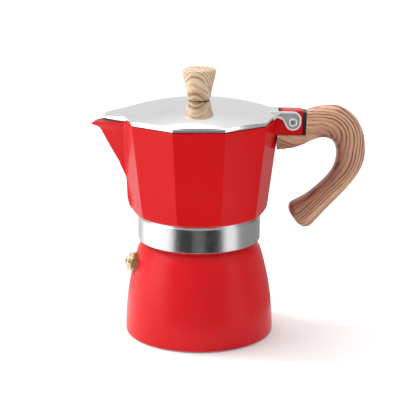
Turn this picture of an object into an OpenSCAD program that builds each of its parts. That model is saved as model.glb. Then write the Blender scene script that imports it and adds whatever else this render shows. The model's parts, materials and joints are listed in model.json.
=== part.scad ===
// Stovetop moka pot: boiler, coffee funnel, screwed-on collector with spout, hinged lid and handle.
// Origin: centre of the boiler's flat underside. +Z up, spout towards -X, handle towards +X.

/* [Boiler] */
// Diameter of the boiler's foot
base_d = 88; // [86:0.5:90]
// Height at which the boiler's side turns into its shoulder
shoulder_z = 51.1; // [50:0.1:51.5]
// Wall thickness of the boiler
boiler_wall = 2.6; // [2.2:0.1:3]

/* [Collector] */
// Outer diameter of the bare metal collar
collar_d = 72.4; // [71.4:0.2:74]
// Height of the collector's rim above the table
rim_z = 130.3; // [129.5:0.1:131]
// Distance from the axis to a corner of the ten-sided rim
rim_r = 47.3; // [47:0.1:48]
// Wall thickness of the collector
collector_wall = 2.6; // [2.2:0.1:3]
// How far the spout's tip stands from the axis
spout_reach = 63.6; // [62:0.2:65]

/* [Lid] */
// Height of the lid's middle above the table
lid_top_z = 140.3; // [140:0.1:142]
// Thickness of the lid
lid_t = 2; // [1.6:0.1:2.2]
// Height of the knob
knob_h = 18.6; // [16:0.1:22]
// Diameter of the knob's top
knob_d = 20.2; // [18:0.1:22]

/* [Handle] */
// Width of the handle across its middle
handle_w = 17; // [14:0.5:20]

/* [Valve] */
// Width across the flats of the valve's hexagon
valve_af = 10; // [9:0.5:11]

/* [Hidden] */

$fn = 96;

// boiler
foot_r = base_d / 2;
foot_fillet = 2;
side_arc_r = 165;
shoulder_arc_r = 16;
shoulder_lean = 24;
neck_r = 33.2;
neck_bore_r = 29.5;
neck_top_z = 70;
floor_t = 3;

// funnel that holds the ground coffee
flange_r = 32.2;
flange_t = 1.2;
cup_r = 28.9;
cup_wall = 0.8;
cup_floor_z = 50.5;
cone_low_z = 42;
stem_r = 5;
stem_bore_r = 4.2;
stem_low_z = 7;
stem_socket_l = 6;
basket_plate_t = 0.8;

// seal and filter between the funnel and the collector
gasket_r = 32.6;
gasket_hole_r = 25.5;
gasket_t = 3;
gasket_z = neck_top_z + flange_t;
filter_t = 0.8;
filter_z = gasket_z + gasket_t;

// collector: a ten-sided tapering vessel with a corner towards each of -X and +X
sides = 10;
corner_to_flat = cos(180 / sides);
taper = 0.1287;
vessel_low_z = neck_top_z + 3.2;
vessel_floor_z = 78;
ceiling_z = filter_z + filter_t;
collar_low_z = 57.2;
collar_bore_r = 33.5;
round_r = 7.75;
round_centre = [34.3, 80.7];

// column that the coffee rises through
column_bore_r = 3.2;
column_spigot_r = 4;
column_foot_r = 9;
column_top_r = 4.6;
column_top_z = 116;

// spout, as level sections of a V that grows from the corner at -X
spout_low_z = 93.9;
spout_root_half_w = 14.9;
spout_root_x = -40;
spout_levels = [
    [93.9, 43.0], [99.1, 45.9], [104.9, 48.8], [111.2, 52.2], [116.6, 55.0],
    [121.1, 57.3], [123.2, 58.4], [124.7, 60.1], [126.1, spout_reach]
];

// hinge
pin_x = 54.45;
pin_z = 128.2;
pin_r = 1.5;
pin_half_l = 6.6;
hinge_clearance = 0.05;
ear_in_y = 5.3;
ear_out_y = 6.9;
ear_boss_r = 4.75;
ear_top_rise = 1.5;
ear_top_r = 4.9;
ear_low_z = 129.4;
tongue_top_z = 134.6;
tongue_x = 46.4;

// bracket that carries the hinge and the handle
bracket_half_w = 5;
bracket_x = 60.2;
bracket_low_z = 120.6;
bracket_top_z = 134.7;
bracket_step_x = 48.4;

// handle
spacer_t = 2.2;
handle_x = bracket_x + spacer_t;
tongue_half_w = 5.5;
handle_end_r = 4.5;
handle_squareness = 0.78;
// handle's middle line: [x, z, half height, half width]
handle_line = [
    [handle_x, 127.4, 6.9, 6.2], [68.4, 127.2, 9.1, 7.2], [75.2, 127.2, 9.7, 8.2],
    [82.8, 123.6, 9.9, 8.5], [87.4, 116.6, 9.1, 8.5], [88.9, 108.6, 8.5, 8.5],
    [87.5, 101.0, 8.1, 8.4], [83.9, 94.0, 7.8, 8.2], [78.0, 87.3, 7.3, 8.0],
    [71.4, 81.2, 7.3, 7.8], [65.0, 75.6, 8.1, 7.7], [61.6, 72.6, 8.4, 7.6]
];
screw_x = 52.6;
screw_r = 2;
screw_head_r = 3.4;
screw_head_z = 114.4;
screw_head_h = 2.2;
screw_top_z = 125.2;

// lid
lid_gap = 0.4;
lid_low_z = rim_z + lid_gap;
lid_edge_z = 133.3;
lid_corner_z = 131.5;
lid_flat_r = 6.4;
lid_bulge = 2;

// knob
knob_foot_r = 6.4;
insert_r = 3.4;
insert_h = 9;
knob_screw_r = 1.9;
knob_washer_r = 5;
knob_washer_t = 0.8;

// safety valve, along its own axis u, which points out of the boiler's wall
valve_turn = 12;
valve_tilt = 14.5;
valve_z = 44;
valve_shank_r = 3.5;
valve_bore_r = 2.4;
valve_nose_bore_r = 1.3;
valve_seat_u = -0.5;
valve_hex_u = 0.3;
valve_hex_t = 3.4;
valve_nose_l = 1.9;
valve_in_u = -7;
valve_seat_t = 1.5;
valve_disc_t = 1;
valve_spring_end_u = 3;
valve_nose_r = 3.2;
valve_port_r = 1.4;
valve_disc_r = 2.1;
valve_rod_r = 1.1;
valve_rod_end_u = 6.2;
valve_washer_r = 5.8;
spot_face_r = 6.3;
spring_r = 1.75;
spring_wire_r = 0.25;
spring_turns = 5;

// points of an arc, in the plane, from angle a0 to a1
function arc(c, r, a0, a1, n) = [
    for (i = [0:n]) let (a = a0 + (a1 - a0) * i / n)
        c + r * [cos(a), sin(a)]
];

// radius of the boiler's outside at height z, below the shoulder
function side_r(z) = foot_r - side_arc_r + sqrt(pow(side_arc_r, 2) - pow(z - foot_fillet, 2));

// distance from the axis to a corner of the vessel's outside at height z
function corner_r(z) = rim_r - taper * (rim_z - z);

// height of the lid's upper face at distance r from the axis
function lid_z(r) = lid_top_z - (lid_top_z - lid_edge_z)
    * (pow(r, lid_bulge) - pow(lid_flat_r, lid_bulge))
    / (pow(rim_r * corner_to_flat, lid_bulge) - pow(lid_flat_r, lid_bulge));

module at_valve(u = 0) {
    translate([0, 0, valve_z])
        rotate([0, 0, 180 + valve_turn])
            translate([side_r(valve_z), 0, 0])
                rotate([0, 90 - valve_tilt, 0])
                    translate([0, 0, u])
                        children();
}

module ring(r_out, r_in, h) {
    difference() {
        cylinder(r = r_out, h = h);
        translate([0, 0, -1])
            cylinder(r = r_in, h = h + 2);
    }
}

// a profile in the XZ plane, extruded along Y about the middle
module across(half_w) {
    rotate([90, 0, 0])
        linear_extrude(height = 2 * half_w, center = true)
            children();
}

// ten-sided body between two heights, from the distance of its flats at each
module ten_sided(z0, flat0, z1, flat1) {
    wide = 120;
    intersection_for (i = [0:sides / 2 - 1]) {
        rotate([0, 0, (i + 0.5) * 360 / sides])
            across(wide)
                polygon([[-flat0, z0], [flat0, z0], [flat1, z1], [-flat1, z1]]);
    }
}

module boiler_outline() {
    steps = 10;
    side = [
        for (i = [0:steps]) let (z = foot_fillet + i * (shoulder_z - foot_fillet) / steps)
            [side_r(z), z]
    ];
    shoulder_c = side[steps] - shoulder_arc_r * [cos(shoulder_lean), sin(shoulder_lean)];
    neck_lean = acos((neck_r - shoulder_c[0]) / shoulder_arc_r);
    polygon(concat(
        [[0, 0]],
        arc([foot_r - foot_fillet, foot_fillet], foot_fillet, -90, -10, 4),
        side,
        arc(shoulder_c, shoulder_arc_r, shoulder_lean + 5, neck_lean, 4),
        [[neck_r, neck_top_z], [0, neck_top_z]]
    ));
}

module boiler_hollow() {
    low_z = 6;
    high_z = shoulder_z - 3.5;
    steps = 8;
    inner = [
        for (i = [0:steps]) let (z = low_z + i * (high_z - low_z) / steps)
            [side_r(z) - boiler_wall, z]
    ];
    polygon(concat(
        [[0, floor_t], [foot_r - 8, floor_t]],
        inner,
        [[neck_bore_r + 2.5, shoulder_z + 0.5], [neck_bore_r, shoulder_z + 2.5]],
        [[neck_bore_r, neck_top_z + 1], [0, neck_top_z + 1]]
    ));
}

module boiler() {
    color([0.86, 0.1, 0.12])
        difference() {
            rotate_extrude()
                boiler_outline();
            rotate_extrude()
                boiler_hollow();
            at_valve(-10)
                cylinder(r = valve_shank_r, h = 20);
            at_valve(valve_seat_u)
                cylinder(r = spot_face_r, h = 5);
        }
}

module valve_washer() {
    color([0.55, 0.3, 0.15])
        at_valve(valve_seat_u)
            ring(valve_washer_r, valve_shank_r + 0.1, valve_hex_u - valve_seat_u);
}

module valve_body() {
    nose_u = valve_hex_u + valve_hex_t;
    color([0.78, 0.62, 0.33])
        difference() {
            union() {
                at_valve(valve_hex_u)
                    cylinder(d = valve_af / cos(30), h = valve_hex_t, $fn = 6);
                at_valve(valve_in_u)
                    cylinder(r = valve_shank_r, h = nose_u - valve_in_u);
                at_valve(nose_u - 1)
                    cylinder(r = valve_nose_r, h = 1 + valve_nose_l);
            }
            at_valve(valve_in_u - 1)
                cylinder(r = valve_bore_r, h = valve_spring_end_u - valve_in_u + 1);
            at_valve(0)
                cylinder(r = valve_nose_bore_r, h = 12);
        }
}

module valve_seat() {
    color([0.72, 0.57, 0.3])
        at_valve(valve_in_u)
            ring(valve_bore_r, valve_port_r, valve_seat_t);
}

module valve_plunger() {
    disc_u = valve_in_u + valve_seat_t;
    color([0.7, 0.68, 0.66]) {
        at_valve(disc_u)
            cylinder(r = valve_disc_r, h = valve_disc_t);
        at_valve(disc_u)
            cylinder(r = valve_rod_r, h = valve_rod_end_u - disc_u);
    }
}

// a wire of radius wire_r wound upwards round the Z axis
module coil(coil_r, wire_r, turns, length) {
    steps = 10;
    around = 6;
    n = turns * steps;
    points = [
        for (i = [0:n]) let (a = 360 * i / steps, z = wire_r + (length - 2 * wire_r) * i / n)
            for (j = [0:around - 1]) let (b = 360 * j / around, r = coil_r + wire_r * cos(b))
                [r * cos(a), r * sin(a), z + wire_r * sin(b)]
    ];
    walls = [
        for (i = [0:n - 1]) for (j = [0:around - 1]) let (k = (j + 1) % around)
            [i * around + j, (i + 1) * around + j, (i + 1) * around + k, i * around + k]
    ];
    low_end = [for (j = [0:around - 1]) j];
    high_end = [for (j = [around - 1:-1:0]) n * around + j];
    polyhedron(points = points, faces = concat([low_end], walls, [high_end]), convexity = 8);
}

module valve_spring() {
    start_u = valve_in_u + valve_seat_t + valve_disc_t;
    color([0.8, 0.8, 0.82])
        at_valve(start_u + 0.05)
            coil(spring_r, spring_wire_r, spring_turns, valve_spring_end_u - start_u - 0.1);
}

module funnel_cup() {
    inner_r = cup_r - cup_wall;
    color([0.78, 0.78, 0.79])
        rotate_extrude()
            polygon([
                [stem_r, cone_low_z - stem_socket_l], [stem_r + cup_wall, cone_low_z - stem_socket_l],
                [stem_r + cup_wall, cone_low_z],
                [cup_r, cup_floor_z - 1], [cup_r, neck_top_z], [flange_r, neck_top_z],
                [flange_r, gasket_z], [inner_r, gasket_z], [inner_r, cup_floor_z], [stem_r, cone_low_z + 1]
            ]);
}

module funnel_stem() {
    color([0.74, 0.74, 0.76])
        difference() {
            translate([0, 0, stem_low_z])
                ring(stem_r, stem_bore_r, cone_low_z - stem_low_z);
            // slanted foot, so that the stem can't seal against the floor
            translate([0, -10, stem_low_z - 5])
                rotate([0, 20, 0])
                    cube([20, 20, 5]);
        }
}

// evenly spaced holes through a disc, on a hexagonal grid inside radius reach
module holes(reach, pitch, hole_r, z, h) {
    rows = floor(reach / (pitch * sin(60)));
    for (j = [-rows:rows]) {
        for (i = [-ceil(reach / pitch) - 1:ceil(reach / pitch) + 1]) {
            x = (i + abs(j % 2) / 2) * pitch;
            y = j * pitch * sin(60);
            if (norm([x, y]) < reach)
                translate([x, y, z])
                    cylinder(r = hole_r, h = h, $fn = 16);
        }
    }
}

module basket_plate() {
    color([0.72, 0.72, 0.73])
        difference() {
            translate([0, 0, cup_floor_z])
                cylinder(r = cup_r - cup_wall, h = basket_plate_t);
            holes(24, 5.2, 0.8, cup_floor_z - 1, 3);
        }
}

module gasket() {
    color([0.93, 0.92, 0.89])
        translate([0, 0, gasket_z])
            ring(gasket_r, gasket_hole_r, gasket_t);
}

module filter_plate() {
    color([0.76, 0.76, 0.77])
        difference() {
            translate([0, 0, filter_z])
                cylinder(r = gasket_r, h = filter_t);
            holes(23, 4.6, 0.7, filter_z - 1, 3);
        }
}

// outline of the vessel's rounded lower edge, filled inwards and open above it
module rounded_foot() {
    rotate_extrude()
        polygon(concat(
            [[0, vessel_low_z]],
            arc(round_centre, round_r, asin((vessel_low_z - round_centre[1]) / round_r), 0, 8),
            [[70, round_centre[1]], [70, rim_z], [0, rim_z]]
        ));
}

// V-shaped beak; inset moves its faces inwards
module beak(inset) {
    low = spout_levels[0][0];
    span = rim_z - low;
    // each level as [height, keel's distance from the axis, half width at the root]
    levels = [
        for (p = spout_levels)
            [p[0], p[1] - 1.6 * inset, spout_root_half_w * (p[0] - low) / span - inset]
    ];
    top = levels[len(levels) - 1];
    kept = concat([for (l = levels) if (l[2] > 0.2) l], [[rim_z + 2, top[1] + 0.4, top[2] + 1.6]]);
    root_x = spout_root_x + (inset > 0 ? 6 : 0);
    points = [for (l = kept) each [[root_x, -l[2], l[0]], [-l[1], 0, l[0]], [root_x, l[2], l[0]]]];
    n = len(kept);
    walls = [
        for (i = [0:n - 2]) for (j = [0:2]) let (k = (j + 1) % 3)
            [3 * i + j, 3 * i + k, 3 * i + 3 + k, 3 * i + 3 + j]
    ];
    triangles = [for (w = walls) each [[w[0], w[1], w[2]], [w[0], w[2], w[3]]]];
    low_end = [2, 1, 0];
    high_end = [3 * n - 3, 3 * n - 2, 3 * n - 1];
    polyhedron(points = points, faces = concat([low_end], triangles, [high_end]));
}

// everything above the spout's lip, which falls away towards the tip
module above_lip() {
    across(30)
        polygon([
            [-80, 118], [-spout_reach - 1, 125.5], [-spout_reach, 126.1], [-61.8, 127.2], [-59.9, 128.2],
            [-57.4, 128.5], [-53.9, 128.8], [-48.5, 129.3], [-43, 130], [-40, rim_z],
            [-30, rim_z], [-30, 150], [-80, 150]
        ]);
}

module collector() {
    flat_low = corner_r(vessel_low_z - 10) * corner_to_flat;
    flat_rim = rim_r * corner_to_flat;
    flat_floor = corner_r(vessel_floor_z) * corner_to_flat - collector_wall;
    over = 5;
    color([0.86, 0.1, 0.12])
        difference() {
            union() {
                intersection() {
                    ten_sided(vessel_low_z - 10, flat_low, rim_z, flat_rim);
                    rounded_foot();
                }
                difference() {
                    beak(0);
                    above_lip();
                }
                across(bracket_half_w)
                    polygon([
                        [42, bracket_low_z], [bracket_x, bracket_low_z], [bracket_x, bracket_top_z],
                        [bracket_step_x + 1, bracket_top_z], [bracket_step_x, bracket_top_z - 1],
                        [bracket_step_x, rim_z], [44, rim_z]
                    ]);
            }
            // room for the coffee
            ten_sided(vessel_floor_z, flat_floor, rim_z + over, flat_rim - collector_wall + taper * over);
            difference() {
                beak(2);
                translate([0, 0, 60])
                    cylinder(r = 30, h = 90);
            }
            // underside, where the filter and the seal lie
            translate([0, 0, vessel_low_z - 1])
                cylinder(r = collar_bore_r, h = ceiling_z - vessel_low_z + 1);
            translate([0, 0, 60])
                cylinder(r = column_spigot_r, h = 30);
            // hinge pin and handle screw
            translate([pin_x, 0, pin_z])
                rotate([90, 0, 0])
                    cylinder(r = pin_r, h = 20, center = true);
            translate([screw_x, 0, bracket_low_z - 1])
                cylinder(r = screw_r, h = screw_top_z - bracket_low_z + 1.2);
        }
}

module collar() {
    color([0.8, 0.8, 0.81])
        rotate_extrude()
            polygon([
                [collar_bore_r, collar_low_z], [collar_d / 2 - 0.6, collar_low_z],
                [collar_d / 2, collar_low_z + 0.6], [collar_d / 2, vessel_low_z - 1],
                [collar_d / 2 - 0.5, vessel_low_z], [collar_bore_r, vessel_low_z]
            ]);
}

module column() {
    color([0.8, 0.8, 0.81])
        rotate_extrude()
            polygon([
                [column_bore_r, ceiling_z + 0.2], [column_spigot_r, ceiling_z + 0.2],
                [column_spigot_r, vessel_floor_z], [column_foot_r, vessel_floor_z],
                [column_foot_r, vessel_floor_z + 1], [6.4, vessel_floor_z + 3],
                [column_top_r, column_top_z], [column_bore_r, column_top_z]
            ]);
}

module column_cap() {
    low_z = column_top_z - 6;
    top_z = column_top_z + 5;
    color([0.8, 0.8, 0.81])
        difference() {
            translate([0, 0, low_z])
                cylinder(r = 6.6, h = top_z - low_z);
            translate([0, 0, low_z - 1])
                cylinder(r = 5.2, h = column_top_z - low_z + 1);
            translate([0, 0, low_z - 1])
                cylinder(r = column_top_r, h = 10.6);
            // two windows that throw the coffee sideways
            translate([0, 0, 118])
                cube([3, 20, 3], center = true);
        }
}

// Catmull-Rom curve through the points of p, at place t from 0 to len(p) - 1
function curve(p, t) = let (
        last = len(p) - 1,
        i = min(floor(t), last - 1),
        s = t - i,
        a = p[max(i - 1, 0)],
        b = p[i],
        c = p[i + 1],
        d = p[min(i + 2, last)]
    ) 0.5 * (2 * b + (c - a) * s + (2 * a - 5 * b + 4 * c - d) * s * s
        + (3 * b - a - 3 * c + d) * s * s * s);

// grip as rings of a rounded section, square to the middle line
module grip() {
    per = 2;
    around = 16;
    last = len(handle_line) - 1;
    // each ring as [place on the line, step beyond it, share of the height, share of the width]
    body = [for (i = [0:last * per]) [i / per, 0, 1, 1]];
    cap = [
        for (a = [30, 60, 82]) let (shrink = handle_end_r * (1 - cos(a)))
            [
                last, handle_end_r * sin(a),
                1 - shrink / handle_line[last][2], 1 - shrink / handle_line[last][3]
            ]
    ];
    rings = concat(body, cap);
    points = [
        for (r = rings) let (
                p = curve(handle_line, r[0]),
                after = curve(handle_line, min(r[0] + 0.05, last)),
                ahead = after - curve(handle_line, max(r[0] - 0.05, 0)),
                along = [ahead[0], ahead[1]] / norm([ahead[0], ahead[1]]),
                up = [-along[1], along[0]],
                mid = [p[0], p[1]] + r[1] * along,
                half_w = p[3] * r[3] * handle_w / 17
            )
            for (j = [0:around - 1]) let (
                    a = 360 * (j + 0.5) / around,
                    y = half_w * sign(cos(a)) * pow(abs(cos(a)), handle_squareness),
                    h = p[2] * r[2] * sign(sin(a)) * pow(abs(sin(a)), handle_squareness)
                )
                [mid[0] + up[0] * h, y, mid[1] + up[1] * h]
    ];
    n = len(rings);
    walls = [
        for (i = [0:n - 2]) for (j = [0:around - 1]) let (k = (j + 1) % around)
            each [
                [i * around + j, (i + 1) * around + j, (i + 1) * around + k],
                [i * around + j, (i + 1) * around + k, i * around + k]
            ]
    ];
    first_end = [for (j = [0:around - 1]) j];
    last_end = [for (j = [around - 1:-1:0]) (n - 1) * around + j];
    polyhedron(points = points, faces = concat([first_end], walls, [last_end]), convexity = 4);
}

module handle() {
    color([0.66, 0.45, 0.32])
        difference() {
            union() {
                grip();
                across(tongue_half_w)
                    polygon([
                        [46.3, bracket_low_z - 0.1], [70, bracket_low_z - 0.1], [70, 118.6], [64.6, 116.1],
                        [59.6, 113.7], [55.1, 112.1], [50.7, 111.3], [45.1, 111]
                    ]);
            }
            // flat face against the spacer
            translate([handle_x - 20, -20, bracket_low_z - 0.1])
                cube([20, 40, 30]);
            translate([screw_x, 0, 100])
                cylinder(r = screw_r + 0.2, h = 30);
            translate([screw_x, 0, 100])
                cylinder(r = screw_head_r + 0.3, h = screw_head_z - 100);
        }
}

module handle_spacer() {
    color([0.24, 0.24, 0.26])
        translate([bracket_x, -bracket_half_w, bracket_low_z])
            cube([spacer_t, 2 * bracket_half_w, bracket_top_z - bracket_low_z - 0.8]);
}

module handle_screw() {
    color([0.75, 0.75, 0.77])
        difference() {
            union() {
                translate([screw_x, 0, screw_head_z - screw_head_h])
                    cylinder(r = screw_head_r, h = screw_head_h);
                translate([screw_x, 0, screw_head_z - 1])
                    cylinder(r = screw_r, h = screw_top_z - screw_head_z + 1);
            }
            for (turn = [0, 90])
                translate([screw_x, 0, screw_head_z - screw_head_h])
                    rotate([0, 0, turn])
                        cube([4, 0.9, 2.4], center = true);
        }
}

module hinge_pin() {
    color([0.5, 0.5, 0.52])
        translate([pin_x, 0, pin_z])
            rotate([90, 0, 0])
                cylinder(r = pin_r, h = 2 * pin_half_l, center = true);
}

// lid seen from above: the ten-sided rim, and the tongue that covers the spout
module lid_outline() {
    circle(r = rim_r, $fn = sides);
    polygon([
        [-42.4, 15], [-53.6, 7], [-55.2, 4.6], [-55.2, -4.6],
        [-53.6, -7], [-42.4, -15], [-30, -15], [-30, 15]
    ]);
}

module lid_dome(drop, r_edge) {
    low = lid_low_z - (drop > 0 ? 5 : 0);
    steps = 8;
    slope_w = rim_r * corner_to_flat - lid_flat_r;
    rings = [
        for (i = [0:steps]) let (r = lid_flat_r + slope_w * i / steps)
            [min(r, r_edge), lid_z(r) - drop]
    ];
    rotate_extrude()
        polygon(concat(
            [[0, low], [0, lid_top_z - drop]],
            rings,
            [[r_edge, (drop > 0 ? lid_edge_z - drop : lid_corner_z)], [r_edge, low]]
        ));
}

// flat tongue over the spout, falling towards its tip
module spout_tongue() {
    intersection() {
        translate([0, 0, lid_low_z])
            linear_extrude(height = 4)
                lid_outline();
        across(20)
            polygon([
                [-60, lid_low_z], [-40, lid_low_z], [-40, 133.2], [-44, 133],
                [-53, 132.2], [-55.2, 131.6], [-60, 131]
            ]);
    }
}

module ears() {
    for (side = [-1, 1])
        translate([0, side * (ear_in_y + ear_out_y) / 2, 0])
            across((ear_out_y - ear_in_y) / 2) {
                translate([pin_x, pin_z])
                    circle(r = ear_boss_r);
                translate([pin_x, pin_z + ear_top_rise])
                    circle(r = ear_top_r);
                polygon([
                    [40, lid_low_z + 1.1], [46.4, lid_low_z + 0.1], [48.4, ear_low_z],
                    [pin_x, ear_low_z], [pin_x, tongue_top_z], [40, tongue_top_z]
                ]);
            }
}

module lid() {
    color([0.85, 0.85, 0.86])
        difference() {
            union() {
                difference() {
                    intersection() {
                        lid_dome(0, rim_r);
                        translate([0, 0, lid_low_z])
                            cylinder(r = rim_r, h = 20, $fn = sides);
                    }
                    // clear of the bracket when the lid swings
                    translate([45.2, -ear_in_y, lid_low_z - 1])
                        cube([10, 2 * ear_in_y, 10]);
                }
                spout_tongue();
                across(ear_out_y)
                    polygon([
                        [30, 133], [44.4, 132.5], [tongue_x, 132.5], [tongue_x, tongue_top_z - 0.4],
                        [tongue_x - 0.4, tongue_top_z], [36, tongue_top_z], [30, 134.4]
                    ]);
                ears();
            }
            lid_dome(lid_t, rim_r * corner_to_flat - lid_t);
            translate([0, 0, 130])
                cylinder(r = knob_screw_r + 0.2, h = 20);
            translate([pin_x, 0, pin_z])
                rotate([90, 0, 0])
                    cylinder(r = pin_r + hinge_clearance, h = 20, center = true);
        }
}

module knob() {
    top_z = lid_top_z + knob_h;
    r = knob_d / 2;
    color([0.88, 0.76, 0.6])
        difference() {
            rotate_extrude()
                polygon(concat(
                    [[0, lid_top_z], [knob_foot_r - 0.4, lid_top_z], [knob_foot_r, lid_top_z + 0.4]],
                    [[7.3, lid_top_z + 5], [8.6, lid_top_z + 11]],
                    arc([r - 1.4, top_z - 1.8], 1.4, -8, 80, 5),
                    [[0, top_z]]
                ));
            translate([0, 0, lid_top_z - 1])
                cylinder(r = insert_r, h = insert_h + 1.4);
        }
}

module knob_insert() {
    color([0.78, 0.62, 0.33])
        translate([0, 0, lid_top_z + 0.1])
            ring(insert_r, knob_screw_r, insert_h);
}

module knob_washer() {
    color([0.75, 0.75, 0.77])
        translate([0, 0, lid_top_z - lid_t - knob_washer_t])
            ring(knob_washer_r, knob_screw_r + 0.2, knob_washer_t);
}

module knob_screw() {
    head_z = lid_top_z - lid_t - knob_washer_t - 2;
    color([0.75, 0.75, 0.77])
        difference() {
            union() {
                translate([0, 0, head_z])
                    cylinder(r = 3.6, h = 2);
                translate([0, 0, head_z + 1])
                    cylinder(r = knob_screw_r, h = 10);
            }
            translate([0, 0, head_z])
                cube([8, 1, 2], center = true);
        }
}

boiler();
valve_washer();
valve_body();
valve_seat();
valve_plunger();
valve_spring();
funnel_cup();
funnel_stem();
basket_plate();
gasket();
filter_plate();
collector();
collar();
column();
column_cap();
handle();
handle_spacer();
handle_screw();
hinge_pin();
lid();
knob();
knob_insert();
knob_washer();
knob_screw();
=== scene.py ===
"""Looks of the stovetop moka pot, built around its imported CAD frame. Lengths are in millimetres
until mesh() turns them into metres; angles are in degrees unless a name says otherwise."""
import json
import math

import bmesh
import bpy
import numpy as np
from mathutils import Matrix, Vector
from mathutils.geometry import delaunay_2d_cdt


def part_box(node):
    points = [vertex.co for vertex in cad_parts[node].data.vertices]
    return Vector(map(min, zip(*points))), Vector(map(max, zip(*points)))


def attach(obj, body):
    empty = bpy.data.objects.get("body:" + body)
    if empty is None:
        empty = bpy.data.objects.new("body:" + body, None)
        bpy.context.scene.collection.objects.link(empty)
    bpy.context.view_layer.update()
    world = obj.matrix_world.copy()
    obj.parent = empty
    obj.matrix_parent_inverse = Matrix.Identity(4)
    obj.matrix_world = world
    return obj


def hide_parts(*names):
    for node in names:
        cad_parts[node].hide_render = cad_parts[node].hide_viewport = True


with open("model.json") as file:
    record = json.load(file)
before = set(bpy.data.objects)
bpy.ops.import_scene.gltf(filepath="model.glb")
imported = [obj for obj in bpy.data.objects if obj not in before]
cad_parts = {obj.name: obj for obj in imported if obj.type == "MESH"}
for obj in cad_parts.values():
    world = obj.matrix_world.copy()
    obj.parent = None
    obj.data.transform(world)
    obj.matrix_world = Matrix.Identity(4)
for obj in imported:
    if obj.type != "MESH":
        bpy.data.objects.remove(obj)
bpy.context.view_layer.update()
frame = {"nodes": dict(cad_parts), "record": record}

MM = 0.001
SIDES = 10


def span(node):
    """A node's lowest and highest corners, in millimetres."""
    low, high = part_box(node)
    return np.array(low) / MM, np.array(high) / MM


def middle(node):
    low, high = span(node)
    return (low + high) / 2


# ---------------------------------------------------------------- sizes, from the frame
COLLAR_LOW, COLLAR_HIGH = span("collar")
KNOB_LOW, KNOB_HIGH = span("knob")
PIN = middle("hinge_pin")
SPACER_LOW, SPACER_HIGH = span("handle_spacer")
GASKET_LOW, GASKET_HIGH = span("gasket")
CUP_HIGH = span("funnel_cup")[1]

PIN_R = 1.5
LID_PIN_R = 1.55
SCREW_X = 52.6

FOOT_R = 44.0
NECK_R = 33.2
NECK_BORE = 29.5
NECK_TOP = span("boiler")[1][2]
COLLAR_R = (COLLAR_HIGH[0] - COLLAR_LOW[0]) / 2
COLLAR_BORE = 33.5
THREAD_PITCH = 3.0
THREAD_DEPTH = 0.9
THREAD_STEPS = 240

RIM_Z = 130.3
RIM_R = 47.3
TAPER = 0.1287
FLAT = math.cos(math.pi / SIDES)
WALL = 2.6
VESSEL_LOW = COLLAR_HIGH[2]
VESSEL_FLOOR = 78.0
CEILING = span("filter_plate")[1][2]
SPOUT_TIP = -span("collector")[0][0]
SPOUT_LOW_Z = 93.9
SPOUT_HALF_W = 14.9
SPOUT_ROOT = 40.0

LID_GAP_Z = 130.7
LID_TOP = KNOB_LOW[2]
LID_EDGE = 133.3
LID_T = 2.0


# ---------------------------------------------------------------- mesh tools
def mesh(name, points, faces, smooth_below=40.0):
    """A mesh object from points in millimetres, with edges sharper than smooth_below kept crisp."""
    data = bpy.data.meshes.new(name)
    data.from_pydata([tuple(float(c) * MM for c in p) for p in points], [], faces)
    work = bmesh.new()
    work.from_mesh(data)
    bmesh.ops.remove_doubles(work, verts=work.verts, dist=2e-6)
    bmesh.ops.dissolve_degenerate(work, edges=work.edges, dist=1e-7)
    bmesh.ops.recalc_face_normals(work, faces=work.faces)
    work.to_mesh(data)
    work.free()
    piece = bpy.data.objects.new(name, data)
    bpy.context.scene.collection.objects.link(piece)
    crisp(piece, smooth_below)
    return piece


def crisp(piece, smooth_below=40.0):
    """Shades a piece smooth, apart from its edges sharper than smooth_below."""
    work = bmesh.new()
    work.from_mesh(piece.data)
    limit = math.radians(smooth_below)
    for face in work.faces:
        face.smooth = True
    for edge in work.edges:
        edge.smooth = len(edge.link_faces) == 2 and edge.calc_face_angle(0.0) < limit
    work.to_mesh(piece.data)
    work.free()


def bands(count, around, closed=False):
    """Faces between count rings of points, and from the last ring to the first if closed."""
    pairs = [(i * around, (i + 1) % count * around) for i in range(count if closed else count - 1)]
    return [(low + j, high + j, high + (j + 1) % around, low + (j + 1) % around)
            for low, high in pairs for j in range(around)]


def grid(name, rings, smooth_below=40.0):
    """A closed skin over rings: both round each ring and from the last ring to the first."""
    points = [p for ring in rings for p in ring]
    return mesh(name, points, bands(len(rings), len(rings[0]), closed=True), smooth_below)


def fillet(corners, steps=6):
    """A closed outline in which each corner (x, y, radius) is rounded by an arc of that radius."""
    out = []
    count = len(corners)
    for i, (x, y, radius) in enumerate(corners):
        here = Vector((x, y))
        before = Vector(corners[i - 1][:2]) - here
        after = Vector(corners[(i + 1) % count][:2]) - here
        angle = before.angle(after, math.pi)
        if radius <= 0 or angle > math.pi - 0.01 or angle < 0.01:
            out.append((x, y))
            continue
        reach = min(radius / math.tan(angle / 2), 0.49 * before.length, 0.49 * after.length)
        fitted = reach * math.tan(angle / 2)
        centre = here + (before.normalized() + after.normalized()).normalized() * fitted / math.sin(angle / 2)
        first = here + before.normalized() * reach - centre
        turn = first.angle_signed(here + after.normalized() * reach - centre)
        for k in range(steps + 1):
            a = -turn * k / steps
            out.append((
                centre.x + first.x * math.cos(a) - first.y * math.sin(a),
                centre.y + first.x * math.sin(a) + first.y * math.cos(a),
            ))
    return out


def arc(cx, cy, radius, start, end, steps):
    """Points of an arc, with no radius of their own, for fillet()."""
    angles = [math.radians(start + (end - start) * k / steps) for k in range(steps + 1)]
    return [(cx + radius * math.cos(a), cy + radius * math.sin(a), 0) for a in angles]


def turn(outline_at, steps):
    """Rings of points round the Z axis, from the outline (r, z) that outline_at gives for an angle."""
    rings = []
    for k in range(steps):
        a = 2 * math.pi * k / steps
        rings.append([(r * math.cos(a), r * math.sin(a), z) for r, z in outline_at(a)])
    return rings


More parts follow.
